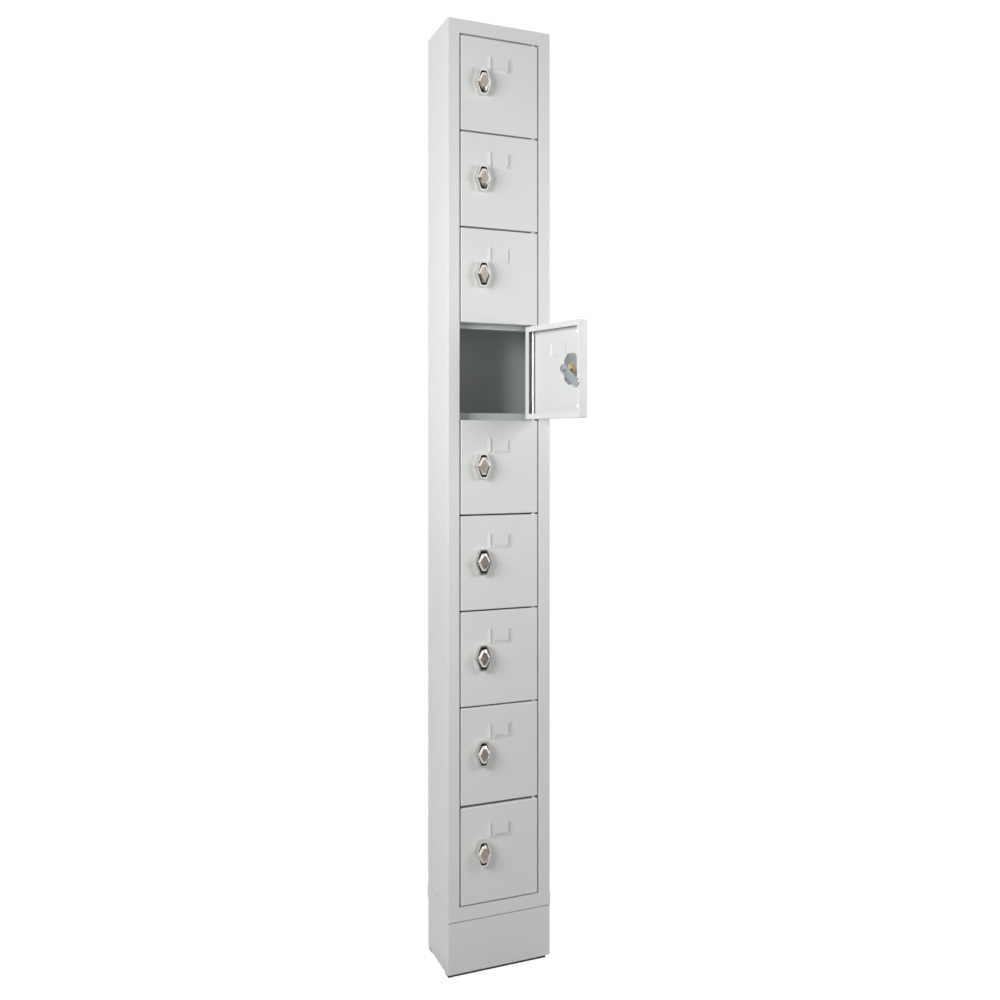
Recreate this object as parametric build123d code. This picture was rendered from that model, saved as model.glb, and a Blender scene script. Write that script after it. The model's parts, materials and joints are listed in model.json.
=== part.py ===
from build123d import *
import os

# Phone charging kiosk: nine small lockable compartments in one narrow sheet-steel column.
# Frame: origin on the floor at the centre of the body's footprint, front facing -Y, +Z up,
# +X to the right as seen from the front. All sizes are in millimetres.

# ---- Cabinet ----
WIDTH = 210.0
DEPTH = 120.0
HEIGHT = 1800.0
PLINTH_HEIGHT = 102.0
GLIDE_HEIGHT = 4.0
SHEET = 1.0
BEND = 1.5
STILE = 23.5
STILE_RETURN = 18.0
RAIL_HEIGHT = 25.5
STRIP_PROUD = 1.0

FRONT = -DEPTH / 2
BACK = DEPTH / 2
LEFT = -WIDTH / 2
RIGHT = WIDTH / 2
OPENING_LEFT = LEFT + STILE
OPENING_RIGHT = RIGHT - STILE
STRIP_TOP = PLINTH_HEIGHT + RAIL_HEIGHT
RAIL_BOTTOM = HEIGHT - RAIL_HEIGHT

# ---- Doors: seven of one height, and the two lowest share what is left ----
DOORS = 9
LOW_DOORS = 2
DOOR_HEIGHT = 178.5
DOOR_GAP = 3.0
LOWEST_GAP = 5.0
SILL_GAP = 2.0
SIDE_GAP = 2.5
DOOR_DEPTH = 18.0
DOOR_BEND = 1.6
LIP_TOP = 10.0
LIP_FREE = 8.0
LIP_HINGE = 10.0
OPEN_DOOR = 4
OPEN_ANGLE = 105.0

DOOR_LEFT = OPENING_LEFT + SIDE_GAP
DOOR_RIGHT = OPENING_RIGHT - SIDE_GAP
FIRST_SILL = STRIP_TOP + SILL_GAP
PITCH = DOOR_HEIGHT + DOOR_GAP
LOW_TOP = RAIL_BOTTOM - (DOORS - LOW_DOORS) * PITCH - DOOR_GAP
LOW_DOOR_HEIGHT = (LOW_TOP - FIRST_SILL - LOWEST_GAP) / LOW_DOORS

# ---- Hinge ----
ROD_RADIUS = 2.5
ROD_INSET = 7.5
ROD_DEPTH = 5.5
ROD_CLEARANCE = 0.05
ROD_OVERRUN = 11.0
ROD_CHAMFER = 0.6
TAB_WIDTH = 8.0
TAB_THICKNESS = 1.5
ROD_X = DOOR_RIGHT - ROD_INSET
ROD_Y = FRONT + ROD_DEPTH

# ---- Shelves ----
STOP_DEPTH = 21.5
STOP_UP = 12.5
STOP_DOWN = 8.0
STOP_Y = FRONT + STOP_DEPTH

# ---- Padlock latch, measured from the door face along the depth ----
LATCH_FROM_FREE = 42.0
LATCH_FROM_TOP = 87.0
LATCH_X = DOOR_LEFT + LATCH_FROM_FREE
HOUSING_HALF_W = 16.0
HOUSING_HALF_H = 24.5
HOUSING_END_HALF_W = 7.0
HOUSING_RADIUS = 4.5
HOUSING_TAPER = 4.0
HOUSING_RIM = 11.0
HOUSING_FLOOR = 2.5
RECESS_HALF_W = 12.8
RECESS_HALF_H = 21.0
RECESS_END_HALF_W = 5.0
RECESS_RADIUS = 3.0
BARREL_RADIUS = 8.0
BARREL_LENGTH = 16.0
SHAFT_RADIUS = 4.0
SHAFT_CLEARANCE = 0.05
MOUNT_HOLE_CLEARANCE = 0.1
CAP_HALF_W = 13.0
CAP_HALF_H = 16.5
CAP_END_HALF_W = 4.0
CAP_RADIUS = 3.0
CAP_BACK = 11.8
CAP_EDGE = 1.2
CAP_FRONT = 15.5
FACE_HALF_W = 8.5
FACE_HALF_H = 12.0
FACE_END_HALF_W = 2.6
FACE_RADIUS = 2.0
STEM_RADIUS = 6.0
STEM_BACK = 2.8
SHACKLE_EYE_RADIUS = 2.8
PLATE_WIDTH = 38.0
PLATE_HEIGHT = 58.0
PLATE_THICKNESS = 1.5
PLATE_CHAMFER = 10.0
NUT_FLATS = 20.0
NUT_HEIGHT = 5.0
NUT_TURN = 30.0
CAM_DEPTH = 19.5
CAM_THICKNESS = 2.0
CAM_WIDTH = 15.7
CAM_REACH = 50.0
CAM_TIP_RADIUS = 4.0
STUB_RADIUS = 2.5
SCREW_RADIUS = 6.5
SCREW_HEIGHT = 4.0
SCREW_CHAMFER = 1.0
CAM_DOWN = 90.0
OPEN_CAM_TILT = 40.0

# ---- Label holder: three pressed louvre lips, open at the top ----
LABEL_X = 0.0
LABEL_FROM_TOP = 33.5
LABEL_HALF_WIDTH = 19.5
LABEL_LIP_LENGTH = 28.5
LABEL_LIP_WIDTH = 6.5
LABEL_LIP_RISE = 1.8
LABEL_LIP_SHEET = 0.8
LABEL_FOOT_LENGTH = 29.0
LABEL_FOOT_DROP = 24.0
LABEL_LIP_ROOT = 1.6
LABEL_END = 3.5
LABEL_END_SLOPE = 35.0
LABEL_END_CUT = 8.0

# ---- Plinth, glides and bolts ----
PLINTH_GROOVE = 1.8
PLINTH_SETBACK = 2.0
PLINTH_FLANGE = 18.0
BOLT_X = 94.0
BOLT_Y = 49.0
BOLT_RADIUS = 3.0
BOLT_CLEARANCE = 0.3
BOLT_HEAD = 4.0
BOLT_FLATS = 10.0
GLIDE_LEFT = LEFT + 1.0
GLIDE_RIGHT = RIGHT - 9.0
GLIDE_SETBACK = 0.5
GLIDE_DEPTH = 20.0
GLIDE_RADIUS = 0.8

# ---- Wall fixing holes ----
WALL_SPACING_X = 120.0
WALL_LOW_Z = 402.0
WALL_HIGH_Z = 1500.0
WALL_HOLE_RADIUS = 4.25

# ---- Charging equipment ----
DUCT_WIDTH = 28.0
DUCT_DEPTH = 30.0
DUCT_RIGHT = LEFT + SHEET + DUCT_WIDTH
DUCT_FRONT = BACK - SHEET - DUCT_DEPTH
OUTLET_X = LEFT + SHEET + DUCT_WIDTH / 2
OUTLET_RISE = 60.0
OUTLET_PLATE_W = 22.0
OUTLET_PLATE_H = 32.0
OUTLET_PLATE_T = 2.0
OUTLET_BODY_W = 16.0
OUTLET_BODY_H = 22.0
OUTLET_BODY_D = 18.0
SOCKET_W = 9.0
SOCKET_H = 3.2
SOCKET_D = 7.0
SOCKET_RADIUS = 1.5
WIRE_HOLE_RADIUS = 5.0
WIRE_HOLE_X = -82.0
WIRE_HOLE_Y = 35.0
SUPPLY_WIDTH = 120.0
SUPPLY_DEPTH = 60.0
SUPPLY_HEIGHT = 34.0
SUPPLY_Y = 8.0
SUPPLY_EAR = 10.0
INLET_Y = 25.0
INLET_Z = 52.0
INLET_FLANGE_W = 31.0
INLET_FLANGE_H = 25.0
INLET_FLANGE_T = 2.0
INLET_BODY_W = 27.5
INLET_BODY_H = 20.0
INLET_BODY_D = 22.0
INLET_CAVITY_W = 24.0
INLET_CAVITY_H = 16.5
INLET_CAVITY_D = 16.0
INLET_CAVITY_BEVEL = 4.0


def block(x0, x1, y0, y1, z0, z1):
    """A box given by its two corners."""
    size = Box(x1 - x0, y1 - y0, z1 - z0)
    return Pos((x0 + x1) / 2, (y0 + y1) / 2, (z0 + z1) / 2) * size


def post(radius, x, y, z0, z1):
    """An upright cylinder."""
    return Pos(x, y, (z0 + z1) / 2) * Cylinder(radius, z1 - z0)


def peg(radius, x, z, y0, y1):
    """A cylinder along the depth."""
    return Pos(x, (y0 + y1) / 2, z) * Rot(90, 0, 0) * Cylinder(radius, y1 - y0)


def upright_plate(sketch, y0, y1):
    """An outline drawn in X and Z, given a thickness from y0 back to y1."""
    return Pos(0, y1, 0) * extrude(Rot(90, 0, 0) * sketch, y1 - y0)


def round_corners(shape, end, radius):
    """Rounds the upright edges at a box's front (end 0) or back (end -1)."""
    return fillet(shape.edges().filter_by(Axis.Z).group_by(Axis.Y)[end], radius)


def door_height(number):
    return LOW_DOOR_HEIGHT if number > DOORS - LOW_DOORS else DOOR_HEIGHT


def sill(number):
    """Height of a door's lower edge. Door 1 is the highest."""
    if number > DOORS - LOW_DOORS:
        return FIRST_SILL + (DOORS - number) * (LOW_DOOR_HEIGHT + LOWEST_GAP)
    return RAIL_BOTTOM - number * PITCH


def shelf_heights():
    """Heights of the gap centres between doors, where the shelves lie."""
    tops = [sill(number) + door_height(number) for number in range(2, DOORS + 1)]
    sills = [sill(number) for number in range(1, DOORS)]
    return [(low + high) / 2 for low, high in zip(tops, sills)]


def side_panel(outer, side):
    """A sheet side folded into its front stile and the stile's return, open at the back."""
    def across(u0, u1):
        ends = (outer + side * u0, outer + side * u1)
        return min(ends), max(ends)
    z0, z1 = PLINTH_HEIGHT + SHEET, HEIGHT
    tube = round_corners(block(*across(0, STILE), FRONT, BACK, z0, z1), 0, BEND)
    core = block(*across(SHEET, STILE - SHEET), FRONT + SHEET, BACK, z0, z1)
    tube -= round_corners(core, 0, BEND - SHEET)
    tube -= block(*across(STILE - SHEET, STILE), FRONT + STILE_RETURN, BACK, z0, z1)
    # The stile's edge is square where it meets the top rail, so that the two lie flush.
    tube += block(*across(STILE - BEND, STILE), FRONT, FRONT + SHEET, RAIL_BOTTOM, z1)
    # The roof lies in a step at the head of the stile.
    return tube - block(*across(SHEET, STILE), FRONT, BACK, HEIGHT - SHEET, HEIGHT)


def back_panel():
    """Flat back between the side walls, with the wall fixing holes."""
    y0, y1 = BACK - SHEET, BACK
    panel = block(LEFT + SHEET, RIGHT - SHEET, y0, y1, PLINTH_HEIGHT + SHEET, HEIGHT - SHEET)
    for side in (-1, 1):
        for z in (WALL_LOW_Z, WALL_HIGH_Z):
            panel -= peg(WALL_HOLE_RADIUS, side * WALL_SPACING_X / 2, z, y0, y1)
    return panel


def top_panel():
    """Roof with its front rail, the rail's return and the stop lip of the top door."""
    x0, x1 = LEFT + SHEET, RIGHT - SHEET
    roof = block(x0, x1, FRONT, BACK, HEIGHT - SHEET, HEIGHT)
    rail = block(OPENING_LEFT, OPENING_RIGHT, FRONT, FRONT + SHEET, RAIL_BOTTOM, HEIGHT)
    ledge = block(
        OPENING_LEFT, OPENING_RIGHT, FRONT, STOP_Y + SHEET, RAIL_BOTTOM, RAIL_BOTTOM + SHEET
    )
    lip_foot = RAIL_BOTTOM - DOOR_GAP / 2 - STOP_DOWN
    lip = block(OPENING_LEFT, OPENING_RIGHT, STOP_Y, STOP_Y + SHEET, lip_foot, RAIL_BOTTOM)
    shape = roof + rail + ledge + lip
    shape -= post(ROD_RADIUS + ROD_CLEARANCE, ROD_X, ROD_Y, RAIL_BOTTOM, RAIL_BOTTOM + SHEET)
    return shape


def base_tray():
    """Bottom pan that wraps the foot of the body, slightly proud, with the lower rail's ledge."""
    x0, x1 = LEFT - STRIP_PROUD, RIGHT + STRIP_PROUD
    y0, y1 = FRONT - STRIP_PROUD, BACK + STRIP_PROUD
    tray = block(x0, x1, y0, y1, PLINTH_HEIGHT, STRIP_TOP)
    tray = round_corners(tray, 0, BEND + STRIP_PROUD)
    tray = round_corners(tray, -1, STRIP_PROUD)
    hollow = block(LEFT, RIGHT, FRONT, BACK, PLINTH_HEIGHT + SHEET, STRIP_TOP)
    tray -= round_corners(hollow, 0, BEND)
    ledge = block(
        OPENING_LEFT, OPENING_RIGHT, y0, STOP_Y + SHEET, STRIP_TOP - SHEET, STRIP_TOP
    )
    lip_top = STRIP_TOP + STOP_UP
    lip = block(OPENING_LEFT, OPENING_RIGHT, STOP_Y, STOP_Y + SHEET, STRIP_TOP, lip_top)
    tray = tray + ledge + lip
    tray -= post(ROD_RADIUS + ROD_CLEARANCE, ROD_X, ROD_Y, STRIP_TOP - SHEET, STRIP_TOP)
    floor = (PLINTH_HEIGHT, PLINTH_HEIGHT + SHEET)
    tray -= post(WIRE_HOLE_RADIUS, WIRE_HOLE_X, WIRE_HOLE_Y, *floor)
    for x, y in corner_places(BOLT_X, BOLT_Y):
        tray -= post(BOLT_RADIUS + BOLT_CLEARANCE, x, y, *floor)
    return tray


def corner_places(x, y):
    """The four places mirrored left to right and front to back."""
    return [(side * x, end * y) for side in (-1, 1) for end in (-1, 1)]


def shelf(z):
    """One shelf with the stop lip that both neighbouring doors close against."""
    x0, x1 = LEFT + SHEET, RIGHT - SHEET
    plate = block(x0, x1, STOP_Y, BACK - SHEET, z - SHEET / 2, z + SHEET / 2)
    lip = block(x0, x1, STOP_Y, STOP_Y + SHEET, z - STOP_DOWN, z + STOP_UP)
    notch = block(x0, DUCT_RIGHT, DUCT_FRONT, BACK - SHEET, z - SHEET, z + SHEET)
    return plate + lip - notch


def hinge_tab(z):
    """A round-nosed tab that carries the rod in the gap between two doors."""
    z0, z1 = z - TAB_THICKNESS / 2, z + TAB_THICKNESS / 2
    half = TAB_WIDTH / 2
    tab = block(ROD_X - half, ROD_X + half, ROD_Y, STOP_Y, z0, z1)
    tab += post(half, ROD_X, ROD_Y, z0, z1)
    return tab - post(ROD_RADIUS + ROD_CLEARANCE, ROD_X, ROD_Y, z0, z1)


def hinge_rod():
    """One rod through all the doors, held by the rails and the tabs."""
    z0, z1 = STRIP_TOP - ROD_OVERRUN, RAIL_BOTTOM + ROD_OVERRUN
    return chamfer(post(ROD_RADIUS, ROD_X, ROD_Y, z0, z1).edges(), ROD_CHAMFER)


def plinth():
    """Four-sided skirt with a stepped top flange that leaves a shadow groove."""
    z0, z1 = GLIDE_HEIGHT, PLINTH_HEIGHT - PLINTH_GROOVE
    skirt = block(LEFT, RIGHT, FRONT, BACK, z0, z1)
    skirt = fillet(skirt.edges().filter_by(Axis.Z), BEND)
    well = block(LEFT + SHEET, RIGHT - SHEET, FRONT + SHEET, BACK - SHEET, z0 + SHEET, z1)
    skirt -= fillet(well.edges().filter_by(Axis.Z), BEND - SHEET)
    inset = PLINTH_FLANGE
    mouth = (LEFT + inset, RIGHT - inset, FRONT + inset, BACK - inset)
    skirt -= block(*mouth, z0, z1)
    step = PLINTH_SETBACK
    flange = block(
        LEFT + step, RIGHT - step, FRONT + step, BACK - step, z1 - SHEET, PLINTH_HEIGHT
    )
    flange += block(LEFT + SHEET, RIGHT - SHEET, FRONT + SHEET, BACK - SHEET, z1 - SHEET, z1)
    flange -= block(*mouth, z1 - SHEET, PLINTH_HEIGHT)
    shape = skirt + flange
    for x, y in corner_places(BOLT_X, BOLT_Y):
        shape -= post(BOLT_RADIUS + BOLT_CLEARANCE, x, y, z1 - SHEET, PLINTH_HEIGHT)
    half_w, half_h = INLET_BODY_W / 2, INLET_BODY_H / 2
    shape -= block(
        RIGHT - SHEET, RIGHT, INLET_Y - half_w, INLET_Y + half_w,
        INLET_Z - half_h, INLET_Z + half_h,
    )
    return shape


def hexagon(flats, height):
    return extrude(RegularPolygon(flats / 2, 6, major_radius=False), height)


def plinth_bolts():
    """Bolts up through the plinth flange and the tray, each with its nut."""
    solids = []
    under = PLINTH_HEIGHT - PLINTH_GROOVE - SHEET
    above = PLINTH_HEIGHT + SHEET
    for x, y in corner_places(BOLT_X, BOLT_Y):
        head = Pos(x, y, under - BOLT_HEAD) * hexagon(BOLT_FLATS, BOLT_HEAD)
        shank = post(BOLT_RADIUS, x, y, under, above + BOLT_HEAD + SHEET)
        nut = Pos(x, y, above) * hexagon(BOLT_FLATS, BOLT_HEAD)
        nut -= post(BOLT_RADIUS, x, y, above, above + BOLT_HEAD)
        solids += [head + shank, nut]
    return solids


def base_glides():
    """Two rubber strips under the plinth's bottom flange, at the front and at the back."""
    outer = BACK - GLIDE_SETBACK
    solids = []
    for y in (-outer, outer - GLIDE_DEPTH):
        strip = block(GLIDE_LEFT, GLIDE_RIGHT, y, y + GLIDE_DEPTH, 0, GLIDE_HEIGHT)
        solids.append(fillet(strip.edges().filter_by(Axis.Z), GLIDE_RADIUS))
    return solids


def cable_duct():
    """Two strips, front and side, that close off the back left corner for the wiring."""
    z0, z1 = PLINTH_HEIGHT + SHEET, HEIGHT - SHEET
    cover = block(LEFT + SHEET, DUCT_RIGHT, DUCT_FRONT, DUCT_FRONT + SHEET, z0, z1)
    half_w, half_h = OUTLET_BODY_W / 2, OUTLET_BODY_H / 2
    for number in range(1, DOORS + 1):
        z = sill(number) + OUTLET_RISE
        cover -= block(
            OUTLET_X - half_w, OUTLET_X + half_w, DUCT_FRONT, DUCT_FRONT + SHEET,
            z - half_h, z + half_h,
        )
    web = block(DUCT_RIGHT - SHEET, DUCT_RIGHT, DUCT_FRONT + SHEET, BACK - SHEET, z0, z1)
    return [cover, web]


def usb_outlet(z):
    """A snap-in charging outlet with one small flat socket."""
    half_w, half_h = OUTLET_PLATE_W / 2, OUTLET_PLATE_H / 2
    plate = block(
        OUTLET_X - half_w, OUTLET_X + half_w, DUCT_FRONT - OUTLET_PLATE_T, DUCT_FRONT,
        z - half_h, z + half_h,
    )
    plate = fillet(plate.edges().filter_by(Axis.Y), OUTLET_PLATE_T)
    half_w, half_h = OUTLET_BODY_W / 2, OUTLET_BODY_H / 2
    body = block(
        OUTLET_X - half_w, OUTLET_X + half_w, DUCT_FRONT, DUCT_FRONT + OUTLET_BODY_D,
        z - half_h, z + half_h,
    )
    socket = Pos(OUTLET_X, 0, z) * upright_plate(
        RectangleRounded(SOCKET_W, SOCKET_H, SOCKET_RADIUS),
        DUCT_FRONT - OUTLET_PLATE_T, DUCT_FRONT - OUTLET_PLATE_T + SOCKET_D,
    )
    return plate + body - socket


def power_supply():
    """Supply unit hung under the tray by an ear at each end."""
    half_w, half_d = SUPPLY_WIDTH / 2, SUPPLY_DEPTH / 2
    top = PLINTH_HEIGHT
    case = block(
        -half_w, half_w, SUPPLY_Y - half_d, SUPPLY_Y + half_d, top - SUPPLY_HEIGHT, top
    )
    case = chamfer(case.edges().filter_by(Axis.X), SHEET)
    ears = block(
        -half_w - SUPPLY_EAR, half_w + SUPPLY_EAR,
        SUPPLY_Y - half_d / 2, SUPPLY_Y + half_d / 2, top - SHEET, top,
    )
    return case + ears


def mains_inlet():
    """Three-pole appliance inlet in the right side of the plinth."""
    def part(width, height, x0, x1):
        half_w, half_h = width / 2, height / 2
        return block(
            x0, x1, INLET_Y - half_w, INLET_Y + half_w, INLET_Z - half_h, INLET_Z + half_h
        )
    outer = RIGHT + INLET_FLANGE_T
    flange = part(INLET_FLANGE_W, INLET_FLANGE_H, RIGHT, outer)
    flange = fillet(flange.edges().filter_by(Axis.X), INLET_FLANGE_T)
    body = part(INLET_BODY_W, INLET_BODY_H, outer - INLET_BODY_D, RIGHT)
    cavity = part(INLET_CAVITY_W, INLET_CAVITY_H, outer - INLET_CAVITY_D, outer)
    lower = cavity.edges().filter_by(Axis.X).sort_by(Axis.Z)[:2]
    return flange + body - chamfer(lower, INLET_CAVITY_BEVEL)


def lozenge(half_w, half_h, end_half_w, radius):
    """A six-sided lozenge with blunt ends and rounded corners."""
    outline = Polygon(
        (half_w, 0), (end_half_w, half_h), (-end_half_w, half_h),
        (-half_w, 0), (-end_half_w, -half_h), (end_half_w, -half_h), align=None,
    )
    return fillet(outline.vertices(), radius)


def louvre_lip(length):
    """A pressed lip rising off the face, and the space under it that opens at x = 0."""
    width, rise = LABEL_LIP_WIDTH, LABEL_LIP_RISE
    wedge = Polygon((-width, 0), (0, -rise), (0, SHEET), (-width, SHEET), align=None)
    lip = Pos(0, 0, -length / 2) * extrude(wedge, length)
    for end in (-1, 1):
        slope = Rot(end * LABEL_END_SLOPE, 0, 0) * block(
            -width, 0, -LABEL_END_CUT, 0, min(0, end * length), max(0, end * length)
        )
        lip -= Pos(0, 0, end * length / 2) * slope
    under = Polygon(
        (LABEL_LIP_ROOT - width, SHEET), (0, LABEL_LIP_SHEET - rise), (0, SHEET), align=None
    )
    inner = length - 2 * LABEL_END
    return lip, Pos(0, 0, -inner / 2) * extrude(under, inner)


def label_holder(height):
    """The three lips in their places, and the spaces under them."""
    head = height - LABEL_FROM_TOP
    middle = head - LABEL_LIP_LENGTH / 2
    left = Pos(LABEL_X - LABEL_HALF_WIDTH, FRONT, middle)
    right = Pos(LABEL_X + LABEL_HALF_WIDTH, FRONT, middle) * Rot(0, 180, 0)
    foot = Pos(LABEL_X, FRONT, head - LABEL_FOOT_DROP) * Rot(0, -90, 0)
    lips, spaces = [], []
    for place, length in (
        (left, LABEL_LIP_LENGTH), (right, LABEL_LIP_LENGTH), (foot, LABEL_FOOT_LENGTH)
    ):
        lip, space = louvre_lip(length)
        lips.append(place * lip)
        spaces.append(place * space)
    return lips, spaces


def door_panel(height):
    """A folded pan with return lips all round and the label holder."""
    y0, y1 = FRONT, FRONT + DOOR_DEPTH
    pan = block(DOOR_LEFT, DOOR_RIGHT, y0, y1, 0, height)
    front_edges = pan.edges().group_by(Axis.Y)[0]
    pan = fillet(front_edges + pan.edges().filter_by(Axis.Y), DOOR_BEND)
    core = block(
        DOOR_LEFT + SHEET, DOOR_RIGHT - SHEET, y0 + SHEET, y1 - SHEET, SHEET, height - SHEET
    )
    pan -= fillet(core.edges(), DOOR_BEND - SHEET)
    pan -= block(
        DOOR_LEFT + LIP_FREE, DOOR_RIGHT - LIP_HINGE, y1 - SHEET, y1, LIP_TOP, height - LIP_TOP
    )
    pan -= post(ROD_RADIUS + ROD_CLEARANCE, ROD_X, ROD_Y, 0, height)
    hole = BARREL_RADIUS + MOUNT_HOLE_CLEARANCE
    pan -= peg(hole, LATCH_X, height - LATCH_FROM_TOP, y0, y0 + SHEET)
    lips, spaces = label_holder(height)
    for lip in lips:
        pan += lip
    for space in spaces:
        pan -= space
    return pan


def latch_housing():
    """Escutcheon whose lozenge recess takes a shackle above and below, and its barrel."""
    outline = lozenge(HOUSING_HALF_W, HOUSING_HALF_H, HOUSING_END_HALF_W, HOUSING_RADIUS)
    body = extrude(Rot(90, 0, 0) * outline, HOUSING_RIM, taper=HOUSING_TAPER)
    recess = lozenge(RECESS_HALF_W, RECESS_HALF_H, RECESS_END_HALF_W, RECESS_RADIUS)
    body -= upright_plate(recess, -HOUSING_RIM, -HOUSING_FLOOR)
    body += peg(BARREL_RADIUS, 0, 0, 0, BARREL_LENGTH)
    return body - peg(SHAFT_RADIUS + SHAFT_CLEARANCE, 0, 0, -HOUSING_FLOOR, BARREL_LENGTH)


def latch_fixings():
    """Backing plate and hexagon nut that clamp the housing to the door sheet."""
    hole = Circle(BARREL_RADIUS + MOUNT_HOLE_CLEARANCE)
    plate = Rectangle(PLATE_WIDTH, PLATE_HEIGHT)
    plate = chamfer(plate.vertices(), PLATE_CHAMFER) - hole
    seat = SHEET + PLATE_THICKNESS
    nut = RegularPolygon(NUT_FLATS / 2, 6, major_radius=False, rotation=NUT_TURN) - hole
    return [upright_plate(plate, SHEET, seat), upright_plate(nut, seat, seat + NUT_HEIGHT)]


def knob_cap():
    """Lozenge cap, bevelled all round to a smaller flat face."""
    rim = lozenge(CAP_HALF_W, CAP_HALF_H, CAP_END_HALF_W, CAP_RADIUS)
    face = lozenge(FACE_HALF_W, FACE_HALF_H, FACE_END_HALF_W, FACE_RADIUS)
    shoulder = -CAP_BACK - CAP_EDGE
    bevel = loft([
        Pos(0, shoulder, 0) * Rot(90, 0, 0) * rim,
        Pos(0, -CAP_FRONT, 0) * Rot(90, 0, 0) * face,
    ], ruled=True)
    return upright_plate(rim, shoulder, -CAP_BACK) + bevel


def latch_knob():
    """Cap on a stem with the shackle eye, and the shaft that carries the cam."""
    stem = peg(STEM_RADIUS, 0, 0, -CAP_BACK, -STEM_BACK)
    eye = Rot(0, 90, 0) * Cylinder(SHACKLE_EYE_RADIUS, 4 * STEM_RADIUS)
    stem -= Pos(0, -(CAP_BACK + STEM_BACK) / 2, 0) * eye
    shaft = peg(SHAFT_RADIUS, 0, 0, -STEM_BACK, CAM_DEPTH)
    return knob_cap() + stem + shaft + peg(STUB_RADIUS, 0, 0, CAM_DEPTH, CAM_DEPTH + CAM_THICKNESS)


def latch_cam():
    """Cam plate reaching down from the shaft, and the screw that holds it."""
    half = CAM_WIDTH / 2
    tongue = Pos(0, -CAM_REACH / 2) * Rectangle(CAM_WIDTH, CAM_REACH)
    tongue = fillet(tongue.vertices().group_by(Axis.Y)[0], CAM_TIP_RADIUS)
    outline = tongue + Circle(half) - Circle(STUB_RADIUS + SHAFT_CLEARANCE)
    back = CAM_DEPTH + CAM_THICKNESS
    plate = upright_plate(outline, CAM_DEPTH, back)
    screw = upright_plate(RegularPolygon(SCREW_RADIUS, 6), back, back + SCREW_HEIGHT)
    return [plate, chamfer(screw.edges().group_by(Axis.Y)[-1], SCREW_CHAMFER)]


def turned(shape, angle):
    """Turns a latch piece about its shaft, from the cam pointing down towards the stile."""
    return Rot(0, angle, 0) * shape


def on_door(number, shape):
    """Lifts a piece of a closed door to its own height and swings the open door out."""
    lifted = Pos(0, 0, sill(number)) * shape
    if number != OPEN_DOOR:
        return lifted
    swing = Pos(ROD_X, ROD_Y, 0) * Rot(0, 0, OPEN_ANGLE) * Pos(-ROD_X, -ROD_Y, 0)
    return swing * lifted


def on_latch(number, shape):
    """Moves a latch piece, drawn with the door face at y = 0, to its place on a door."""
    return on_door(number, Pos(LATCH_X, FRONT, door_height(number) - LATCH_FROM_TOP) * shape)


def save(name, solids):
    export_step(Compound(children=list(solids)), f"parts/{name}.step")


def save_cabinet():
    outlets = [usb_outlet(sill(number) + OUTLET_RISE) for number in range(1, DOORS + 1)]
    save("side_panel_left", [side_panel(LEFT, 1)])
    save("side_panel_right", [side_panel(RIGHT, -1)])
    save("back_panel", [back_panel()])
    save("top_panel", [top_panel()])
    save("base_tray", [base_tray()])
    save("shelves", [shelf(z) for z in shelf_heights()])
    save("hinge_tabs", [hinge_tab(z) for z in shelf_heights()])
    save("hinge_rod", [hinge_rod()])
    save("plinth", [plinth()])
    save("plinth_bolts", plinth_bolts())
    save("base_glides", base_glides())
    save("cable_duct", cable_duct())
    save("usb_outlets", outlets)
    save("power_supply", [power_supply()])
    save("mains_inlet", [mains_inlet()])


def save_doors():
    panels = {height: door_panel(height) for height in (DOOR_HEIGHT, LOW_DOOR_HEIGHT)}
    housing, fixings, knob, cam = latch_housing(), latch_fixings(), latch_knob(), latch_cam()
    for number in range(1, DOORS + 1):
        angle = CAM_DOWN - OPEN_CAM_TILT if number == OPEN_DOOR else 0
        name = f"door_{number}"
        save(f"{name}_panel", [on_door(number, panels[door_height(number)])])
        save(f"{name}_latch_housing", [on_latch(number, housing)])
        save(f"{name}_latch_fixings", [on_latch(number, solid) for solid in fixings])
        save(f"{name}_latch_knob", [on_latch(number, turned(knob, angle))])
        save(f"{name}_latch_cam", [on_latch(number, turned(solid, angle)) for solid in cam])


os.makedirs("parts", exist_ok=True)
save_cabinet()
save_doors()
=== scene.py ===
import json
import math

import bmesh
import bpy
from mathutils import Matrix, Vector


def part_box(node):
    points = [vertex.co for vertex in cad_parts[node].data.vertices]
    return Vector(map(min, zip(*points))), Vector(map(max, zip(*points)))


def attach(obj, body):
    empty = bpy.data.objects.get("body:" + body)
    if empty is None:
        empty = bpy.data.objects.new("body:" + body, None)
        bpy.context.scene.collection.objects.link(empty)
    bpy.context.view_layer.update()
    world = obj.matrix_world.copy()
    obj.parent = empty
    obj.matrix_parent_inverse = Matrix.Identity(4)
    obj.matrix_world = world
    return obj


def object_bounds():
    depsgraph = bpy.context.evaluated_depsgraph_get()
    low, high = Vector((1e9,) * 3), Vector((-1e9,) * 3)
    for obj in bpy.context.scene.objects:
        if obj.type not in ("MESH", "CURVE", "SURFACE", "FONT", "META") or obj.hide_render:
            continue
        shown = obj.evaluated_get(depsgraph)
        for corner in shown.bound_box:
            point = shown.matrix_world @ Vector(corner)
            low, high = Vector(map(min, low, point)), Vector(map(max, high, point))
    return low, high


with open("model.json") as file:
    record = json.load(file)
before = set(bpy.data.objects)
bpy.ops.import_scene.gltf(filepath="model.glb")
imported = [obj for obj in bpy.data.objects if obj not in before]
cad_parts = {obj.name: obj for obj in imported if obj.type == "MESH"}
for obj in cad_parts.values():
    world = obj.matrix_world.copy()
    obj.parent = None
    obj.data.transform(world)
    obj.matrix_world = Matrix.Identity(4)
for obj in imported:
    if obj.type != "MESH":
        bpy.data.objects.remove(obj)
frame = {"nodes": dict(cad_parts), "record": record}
cad_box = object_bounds()
nodes = frame["nodes"]

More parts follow.
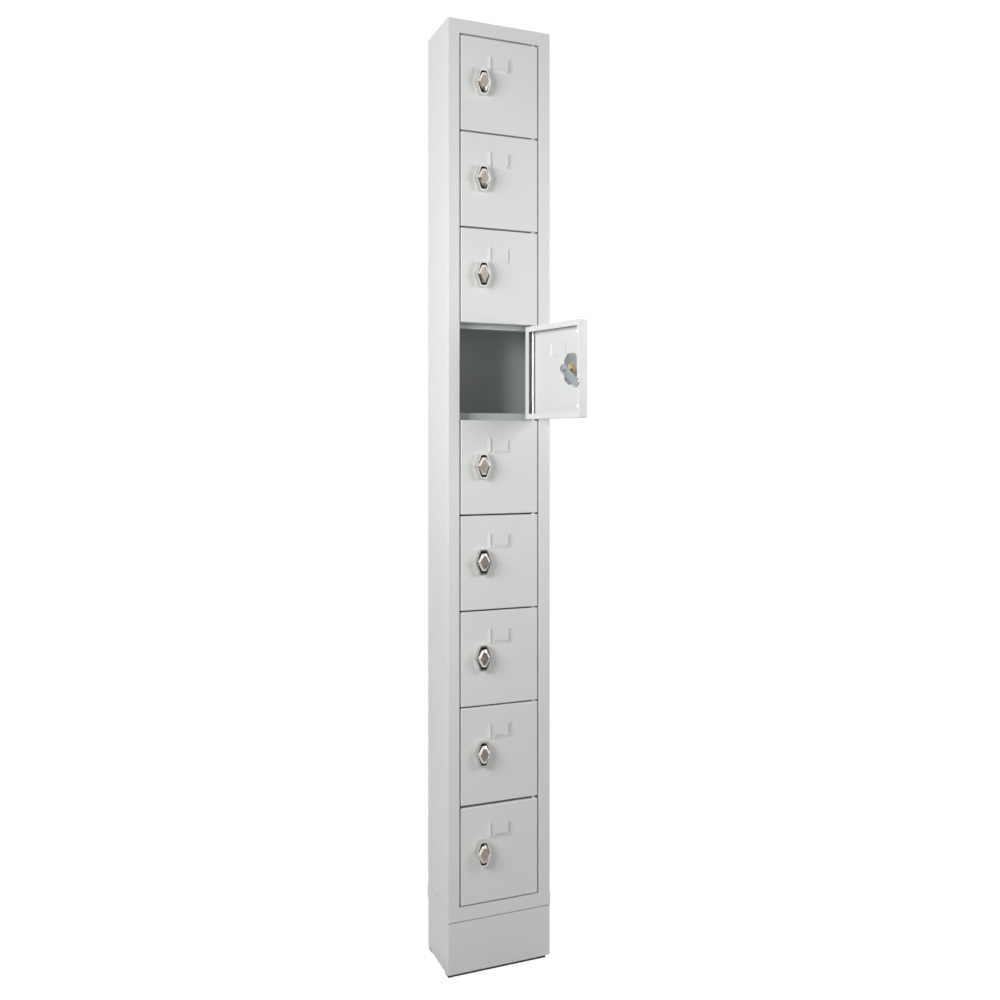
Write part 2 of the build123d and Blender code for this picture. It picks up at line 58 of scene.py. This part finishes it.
record = frame["record"]
joints = {joint["name"]: joint for joint in record["behaviour"]["joints"]}

MM = 0.001
DOORS = range(1, 10)

# ---------------------------------------------------------------- materials


class Shade:
    """One node material. Every pattern is in object coordinates, in metres."""

    def __init__(self, name, color, roughness, metallic=0.0, **sockets):
        self.material = bpy.data.materials.new(name)
        self.material.use_nodes = True
        self.tree = self.material.node_tree
        self.shader = self.tree.nodes["Principled BSDF"]
        self.place = self.tree.nodes.new("ShaderNodeTexCoord").outputs["Object"]
        self.color, self.roughness = color, roughness
        self.shader.inputs["Base Color"].default_value = (*color, 1)
        self.shader.inputs["Roughness"].default_value = roughness
        self.shader.inputs["Metallic"].default_value = metallic
        for label, value in sockets.items():
            self.shader.inputs[label.replace("_", " ")].default_value = value
        self.bump = None

    def node(self, kind, **inputs):
        made = self.tree.nodes.new(kind)
        for label, value in inputs.items():
            made.inputs[label.replace("_", " ")].default_value = value
        return made

    def link(self, output, socket):
        self.tree.links.new(output, socket)

    def stretched(self, scale):
        """The object's coordinates, scaled differently along each axis."""
        mapping = self.node("ShaderNodeMapping", Scale=scale)
        self.link(self.place, mapping.inputs["Vector"])
        return mapping.outputs["Vector"]

    def noise(self, scale, detail=2.0, vector=None):
        made = self.node("ShaderNodeTexNoise", Scale=scale, Detail=detail)
        self.link(vector or self.place, made.inputs["Vector"])
        return made.outputs["Fac"]

    def spread(self, value, low, high, low_in=0.3, high_in=0.7):
        made = self.node("ShaderNodeMapRange")
        self.link(value, made.inputs["Value"])
        for label, number in (("From Min", low_in), ("From Max", high_in),
                              ("To Min", low), ("To Max", high)):
            made.inputs[label].default_value = number
        return made.outputs["Result"]

    def tint(self, value, other):
        """Mixes the base colour towards another one."""
        mix = self.tree.nodes.new("ShaderNodeMix")
        mix.data_type = "RGBA"
        mix.inputs[6].default_value = (*self.color, 1)
        mix.inputs[7].default_value = (*other, 1)
        source = self.shader.inputs["Base Color"]
        if source.links:
            self.link(source.links[0].from_socket, mix.inputs[6])
        self.link(value, mix.inputs[0])
        self.link(mix.outputs[2], source)

    def rough(self, value, low, high):
        self.link(self.spread(value, low, high), self.shader.inputs["Roughness"])

    def relief(self, value, strength, distance):
        made = self.node("ShaderNodeBump", Strength=strength, Distance=distance)
        self.link(value, made.inputs["Height"])
        if self.bump:
            self.link(self.bump, made.inputs["Normal"])
        self.bump = made.outputs["Normal"]
        self.link(self.bump, self.shader.inputs["Normal"])


def times(color, factor):
    return tuple(c * factor for c in color)


def powder_coat(name, color):
    """Baked powder coat: fine orange peel, a slight cloudiness and a satin gloss."""
    shade = Shade(name, color, 0.42, Specular_IOR_Level=0.45)
    cloud = shade.noise(5.0, 3.0)
    speck = shade.noise(2200.0, 1.0)
    shade.tint(shade.spread(cloud, 0.0, 1.0), times(color, 0.965))
    shade.tint(shade.spread(speck, 0.0, 0.06), times(color, 0.8))
    shade.rough(shade.noise(60.0, 2.0), 0.38, 0.46)
    shade.relief(shade.noise(520.0, 2.0), 0.10, 0.00012)
    shade.relief(shade.noise(14.0, 1.0), 0.05, 0.0006)
    return shade.material


def plated(name, color, roughness, grain):
    """Plated metal: faint polishing lines, a little haze and small marks."""
    shade = Shade(name, color, roughness, 1.0)
    lines = shade.noise(240.0, 3.0, shade.stretched((1.0, 1.0, grain)))
    haze = shade.noise(130.0, 3.0)
    shade.tint(shade.spread(haze, 0.0, 0.5), times(color, 0.86))
    shade.rough(haze, roughness * 0.7, roughness * 1.35)
    shade.relief(lines, 0.06, 0.00005)
    return shade.material


def blue_zinc(name):
    """Blue-passivated zinc: soft spangle and a faint iridescent drift in colour."""
    shade = Shade(name, (0.50, 0.56, 0.62), 0.34, 1.0)
    drift = shade.noise(90.0, 2.0)
    shade.tint(shade.spread(drift, 0.0, 0.7), (0.62, 0.62, 0.56))
    shade.tint(shade.spread(shade.noise(420.0, 2.0), 0.0, 0.4), (0.36, 0.43, 0.52))
    shade.rough(shade.noise(300.0, 2.0), 0.26, 0.44)
    shade.relief(shade.noise(900.0, 2.0), 0.10, 0.00006)
    return shade.material


def moulded(name, color, roughness):
    """Moulded plastic or rubber with a fine spark texture."""
    shade = Shade(name, color, roughness)
    paler = tuple(c * 1.5 + 0.004 for c in color)
    shade.tint(shade.spread(shade.noise(40.0, 3.0), 0.0, 1.0), paler)
    shade.rough(shade.noise(200.0, 2.0), roughness * 0.85, min(1.0, roughness * 1.15))
    shade.relief(shade.noise(1500.0, 2.0), 0.2, 0.00008)
    return shade.material


GREY = (0.609, 0.620, 0.611)
# Painted shade: the compartments' inside faces get a darker grey than the outside. It stands in
# for the shade that falls inside them.
INSIDE_SHADE_SHARE = (0.79, 0.82, 0.81)
INSIDE_SHADED_GREY = tuple(c * share for c, share in zip(GREY, INSIDE_SHADE_SHARE))
paint = powder_coat("powder_coat_grey", GREY)
inner_paint = powder_coat("powder_coat_inside_shaded", INSIDE_SHADED_GREY)
chrome = plated("nickel_chrome", (0.80, 0.765, 0.72), 0.12, 6.0)
brass = plated("brass_nut", (0.74, 0.50, 0.22), 0.26, 3.0)
zinc = blue_zinc("blue_zinc")
rod_steel = plated("bright_rod", (0.90, 0.89, 0.86), 0.34, 8.0)
cap_bronze = plated("cap_face", (0.43, 0.365, 0.31), 0.30, 5.0)
black = moulded("black_plastic", (0.012, 0.012, 0.013), 0.42)
rubber = moulded("black_rubber", (0.008, 0.008, 0.008), 0.75)
white = moulded("white_nylon", (0.78, 0.79, 0.78), 0.4)
alloy = plated("supply_case", (0.66, 0.67, 0.68), 0.38, 2.0)

BY_SLOT = {
    "body_paint": paint,
    "door_paint": paint,
    # inner_paint carries the painted shade of the compartments' insides.
    "inner_paint": inner_paint,
    "chrome": chrome,
    "zinc_steel": zinc,
    "latch_fixings": zinc,
    "foot_rubber": rubber,
    "black_plastic": black,
    "supply_case": alloy,
}

for part in record["subparts"]:
    mesh = nodes[part["node"]].data
    mesh.materials.clear()
    mesh.materials.append(BY_SLOT[part["material_slot"]])
nodes["hinge_rod"].data.materials[0] = rod_steel

# ---------------------------------------------------------------- doors and latches

# Depths are measured from the door's face: negative in front of it.
# Painted shade: recess faces between these depths, and farther from the axis than this, are
# painted black for the shade deep inside the latch.
RECESS_SHADE_FRONT = -10.9 * MM
RECESS_SHADE_BACK = -2.0 * MM
RECESS_SHADE_FROM_AXIS = 8.5 * MM
CAP_FACE_DEPTH = -15.4 * MM
NUT_DEPTH = 2.6 * MM
FACES_FRONT = -0.9
NOT_FLAT = -1e-6
BUFFER_FROM_EDGE = 4.2 * MM
BUFFER_FROM_END = 21 * MM
BUFFER_RADIUS = 3.2 * MM
BUFFER_HEIGHT = 2.2 * MM
BUFFER_SUNK = 0.2 * MM
# How far up each ring of the button is, and how wide, as shares of its height and radius.
BUFFER_RINGS = ((0.0, 1.0), (0.55, 1.0), (0.80, 0.92), (0.96, 0.45))
BUFFER_CROWN = 0.93
BUFFER_STEPS = 28


class Door:
    """One door, with the turn that takes its closed place to where it stands at rest."""

    def __init__(self, number):
        self.body = f"door_{number}"
        hinge = joints[f"door_{number}_hinge"]
        pin = Vector(hinge["pos_m"])
        turn = Matrix.Rotation(-math.radians(hinge["range_deg"][0]), 4, "Z")
        self.rest = Matrix.Translation(pin) @ turn @ Matrix.Translation(-pin)
        self.closed = self.rest.inverted()
        self.latch = self.closed @ Vector(joints[f"latch_{number}_turn"]["pos_m"])
        corners = [self.closed @ v.co for v in nodes[f"{self.body}_panel"].data.vertices]
        self.low = Vector([min(c[axis] for c in corners) for axis in range(3)])
        self.high = Vector([max(c[axis] for c in corners) for axis in range(3)])

    def from_latch(self, face):
        """A face's centre, measured from the latch's centre on the closed door's face."""
        return self.closed @ face.center - self.latch

    def facing(self, face):
        return self.closed.to_3x3() @ face.normal


def repaint(node, material, chosen):
    """Gives the faces that chosen() picks a material of their own, on a CAD node."""
    mesh = nodes[node].data
    mesh.materials.append(material)
    slot = len(mesh.materials) - 1
    for face in mesh.polygons:
        if chosen(face):
            face.material_index = slot


def paint_latch(door):
    """Painted shade: black on the recess walls away from the axis, for the shade deep in the
    recess; a bronze face on the cap, and a brass nut inside.
    """
    def in_painted_shade(face):
        place, facing = door.from_latch(face), door.facing(face)
        inward = facing.x * place.x + facing.z * place.z < NOT_FLAT
        in_recess = RECESS_SHADE_FRONT < place.y < RECESS_SHADE_BACK and abs(place.z) > RECESS_SHADE_FROM_AXIS
        return in_recess and (inward or facing.y < FACES_FRONT)

    def on_cap_face(face):
        return door.from_latch(face).y < CAP_FACE_DEPTH and door.facing(face).y < FACES_FRONT

    # The black plastic material is painted shade here, not a part of its own.
    repaint(f"{door.body}_latch_housing", black, in_painted_shade)
    repaint(f"{door.body}_latch_knob", cap_bronze, on_cap_face)
    repaint(f"{door.body}_latch_fixings", brass, lambda face: door.from_latch(face).y > NUT_DEPTH)


def made(name, form, material, slot, body):
    """Turns a bmesh into a piece of the model that moves with a body."""
    mesh = bpy.data.meshes.new(name)
    form.to_mesh(mesh)
    form.free()
    mesh.materials.append(material)
    piece = bpy.data.objects.new(name, mesh)
    bpy.context.scene.collection.objects.link(piece)
    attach(piece, body)


def dome(form, place, turn):
    """A low button: a flat seat, a rounded shoulder and a slightly hollow crown."""
    rings = []
    for up, out in BUFFER_RINGS:
        ring = []
        for step in range(BUFFER_STEPS):
            angle = 2 * math.pi * step / BUFFER_STEPS
            reach = BUFFER_RADIUS * out
            spot = Vector((reach * math.cos(angle), up * BUFFER_HEIGHT, reach * math.sin(angle)))
            ring.append(form.verts.new(turn @ (place + spot)))
        rings.append(ring)
    crown = form.verts.new(turn @ (place + Vector((0, BUFFER_CROWN * BUFFER_HEIGHT, 0))))
    for step in range(BUFFER_STEPS):
        after = (step + 1) % BUFFER_STEPS
        for inner, outer in zip(rings, rings[1:]):
            form.faces.new((inner[step], inner[after], outer[after], outer[step]))
        form.faces.new((rings[-1][step], rings[-1][after], crown))
    form.faces.new(list(reversed(rings[0])))
    bmesh.ops.recalc_face_normals(form, faces=form.faces)


def add_buffers(door):
    """White nylon buttons on the free-side lip, which soften the door's closing."""
    form = bmesh.new()
    x, y = door.low.x + BUFFER_FROM_EDGE, door.high.y - BUFFER_SUNK
    for z in (door.low.z + BUFFER_FROM_END, door.high.z - BUFFER_FROM_END):
        dome(form, Vector((x, y, z)), door.rest)
    made(f"{door.body}_buffers", form, white, "door_paint", door.body)


# ---------------------------------------------------------------- sockets

PIN_PLACES = ((-7 * MM, -2 * MM), (0, 2.5 * MM), (7 * MM, -2 * MM))
PIN_HALF_WIDTH = 1 * MM
PIN_HALF_HEIGHT = 2 * MM
PIN_ROOT = 16.5 * MM
PIN_TIP = 3.5 * MM
PIN_BEVEL = 0.5 * MM
OUTLET_HALF_HEIGHT = 16 * MM
OUTLET_APART = 100 * MM
SAME_PLANE = 0.01 * MM
TONGUE_HALF_WIDTH = 3 * MM
TONGUE_HALF_HEIGHT = 0.35 * MM
TONGUE_TIP = 0.6 * MM
TONGUE_ROOT = 7.2 * MM
TONGUE_BEVEL = 0.15 * MM


def beam(form, low, high, bevel):
    """A block between two corners, with its edges softened."""
    size = [b - a for a, b in zip(low, high)]
    middle = [(a + b) / 2 for a, b in zip(low, high)]
    block = bmesh.ops.create_cube(form, size=1.0)["verts"]
    bmesh.ops.scale(form, vec=size, verts=block)
    bmesh.ops.translate(form, vec=middle, verts=block)
    edges = list({edge for vert in block for edge in vert.link_edges})
    bmesh.ops.bevel(form, geom=edges, offset=bevel, segments=2, affect="EDGES")


def add_inlet_pins():
    """Three flat contacts standing in the mains inlet."""
    low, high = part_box("mains_inlet")
    middle = (low + high) / 2
    form = bmesh.new()
    for across, up in PIN_PLACES:
        y, z = middle.y + across, middle.z + up
        beam(form, (high.x - PIN_ROOT, y - PIN_HALF_WIDTH, z - PIN_HALF_HEIGHT),
             (high.x - PIN_TIP, y + PIN_HALF_WIDTH, z + PIN_HALF_HEIGHT), PIN_BEVEL)
    made("inlet_pins", form, brass, "latch_fixings", "cabinet")


def outlet_feet(front):
    """The lower edge of each outlet's plate, found from the corners on its front face."""
    corners = nodes["usb_outlets"].data.vertices
    levels = sorted({round(v.co.z, 5) for v in corners if v.co.y < front + SAME_PLANE})
    feet = [levels[0]]
    for level in levels:
        if level - feet[-1] > OUTLET_APART:
            feet.append(level)
    return feet


def add_outlet_tongues():
    """The flat contact tongue inside each outlet's socket."""
    low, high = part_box("usb_outlets")
    x = (low.x + high.x) / 2
    form = bmesh.new()
    for foot in outlet_feet(low.y):
        z = foot + OUTLET_HALF_HEIGHT
        beam(form, (x - TONGUE_HALF_WIDTH, low.y + TONGUE_TIP, z - TONGUE_HALF_HEIGHT),
             (x + TONGUE_HALF_WIDTH, low.y + TONGUE_ROOT, z + TONGUE_HALF_HEIGHT), TONGUE_BEVEL)
    made("outlet_tongues", form, brass, "latch_fixings", "cabinet")


for number in DOORS:
    door = Door(number)
    paint_latch(door)
    add_buffers(door)
add_inlet_pins()
add_outlet_tongues()

# ---------------------------------------------------------------- stage

FLOOR_RADIUS = 14.0
FLOOR_STEPS = 96
FLOOR_BELOW = 0.2 * MM
# Each softbox: its place, the point it faces, the length of its square side, and its watts.
SOFTBOXES = {
    "left_softbox": ((-1.5, -0.8, 1.36), (0, 0, 1.10), 0.8, 36.5),
    "right_softbox": ((1.15, -1.0, 1.38), (0, 0, 1.15), 0.7, 16),
    "back_softbox": ((0.9, 1.9, 1.5), (0, 0, 0.9), 1.0, 42),
}
AMBIENT = 0.09
EYE = (-0.708, -1.8065, 1.0002)
EYE_TURN = -22.07
LENS = 35.48
SHIFT_UP = -0.056
SENSOR = 36.0


def floor_material():
    """A plain pale sweep: evenly lit where the camera sees it, soft grey for bounced light."""
    material = bpy.data.materials.new("studio_floor")
    material.use_nodes = True
    tree = material.node_tree
    links = tree.links
    shader = tree.nodes["Principled BSDF"]
    shader.inputs["Roughness"].default_value = 0.8
    place = tree.nodes.new("ShaderNodeTexCoord")
    grain = tree.nodes.new("ShaderNodeTexNoise")
    grain.inputs["Scale"].default_value = 30.0
    ramp = tree.nodes.new("ShaderNodeMapRange")
    ramp.inputs["To Min"].default_value = 0.62
    ramp.inputs["To Max"].default_value = 0.66
    links.new(place.outputs["Object"], grain.inputs["Vector"])
    links.new(grain.outputs["Fac"], ramp.inputs["Value"])
    links.new(ramp.outputs["Result"], shader.inputs["Base Color"])
    bright = tree.nodes.new("ShaderNodeEmission")
    bright.inputs["Strength"].default_value = 1.0
    ray = tree.nodes.new("ShaderNodeLightPath")
    mix = tree.nodes.new("ShaderNodeMixShader")
    links.new(ray.outputs["Is Camera Ray"], mix.inputs[0])
    links.new(shader.outputs[0], mix.inputs[1])
    links.new(bright.outputs[0], mix.inputs[2])
    links.new(mix.outputs[0], tree.nodes["Material Output"].inputs["Surface"])
    return material


def make_floor():
    low = cad_box[0]
    mesh = bpy.data.meshes.new("floor")
    form = bmesh.new()
    bmesh.ops.create_circle(form, cap_ends=True, segments=FLOOR_STEPS, radius=FLOOR_RADIUS)
    form.to_mesh(mesh)
    form.free()
    mesh.materials.append(floor_material())
    floor = bpy.data.objects.new("floor", mesh)
    floor.location.z = low[2] - FLOOR_BELOW
    bpy.context.scene.collection.objects.link(floor)


def soft_light(name, place, aim, side, watts):
    light = bpy.data.lights.new(name, "AREA")
    light.shape = "RECTANGLE"
    light.size = light.size_y = side
    light.energy = watts
    lamp = bpy.data.objects.new(name, light)
    lamp.location = place
    lamp.rotation_euler = (Vector(aim) - Vector(place)).to_track_quat("-Z", "Y").to_euler()
    bpy.context.scene.collection.objects.link(lamp)


def make_world():
    """Dim for bounced light, and white where it is seen directly or in a reflection."""
    world = bpy.data.worlds.new("studio")
    world.use_nodes = True
    back = world.node_tree.nodes["Background"]
    back.inputs["Color"].default_value = (1, 1, 1, 1)
    back.inputs["Strength"].default_value = AMBIENT
    seen = world.node_tree.nodes.new("ShaderNodeBackground")
    seen.inputs["Color"].default_value = (1, 1, 1, 1)
    ray = world.node_tree.nodes.new("ShaderNodeLightPath")
    tent = world.node_tree.nodes.new("ShaderNodeMath")
    tent.operation = "MAXIMUM"
    mix = world.node_tree.nodes.new("ShaderNodeMixShader")
    links = world.node_tree.links
    links.new(ray.outputs["Is Camera Ray"], tent.inputs[0])
    links.new(ray.outputs["Is Glossy Ray"], tent.inputs[1])
    links.new(tent.outputs[0], mix.inputs[0])
    links.new(back.outputs[0], mix.inputs[1])
    links.new(seen.outputs[0], mix.inputs[2])
    links.new(mix.outputs[0], world.node_tree.nodes["World Output"].inputs["Surface"])
    bpy.context.scene.world = world


def make_camera():
    camera = bpy.data.cameras.new("camera")
    camera.sensor_width = SENSOR
    camera.lens = LENS
    camera.shift_y = SHIFT_UP
    eye = bpy.data.objects.new("camera", camera)
    eye.location = EYE
    eye.rotation_euler = (math.radians(90), 0, math.radians(EYE_TURN))
    bpy.context.scene.collection.objects.link(eye)
    bpy.context.scene.camera = eye


bpy.context.scene.view_settings.view_transform = "Standard"
make_floor()
for name, facts in SOFTBOXES.items():
    soft_light(name, *facts)
make_world()
make_camera()
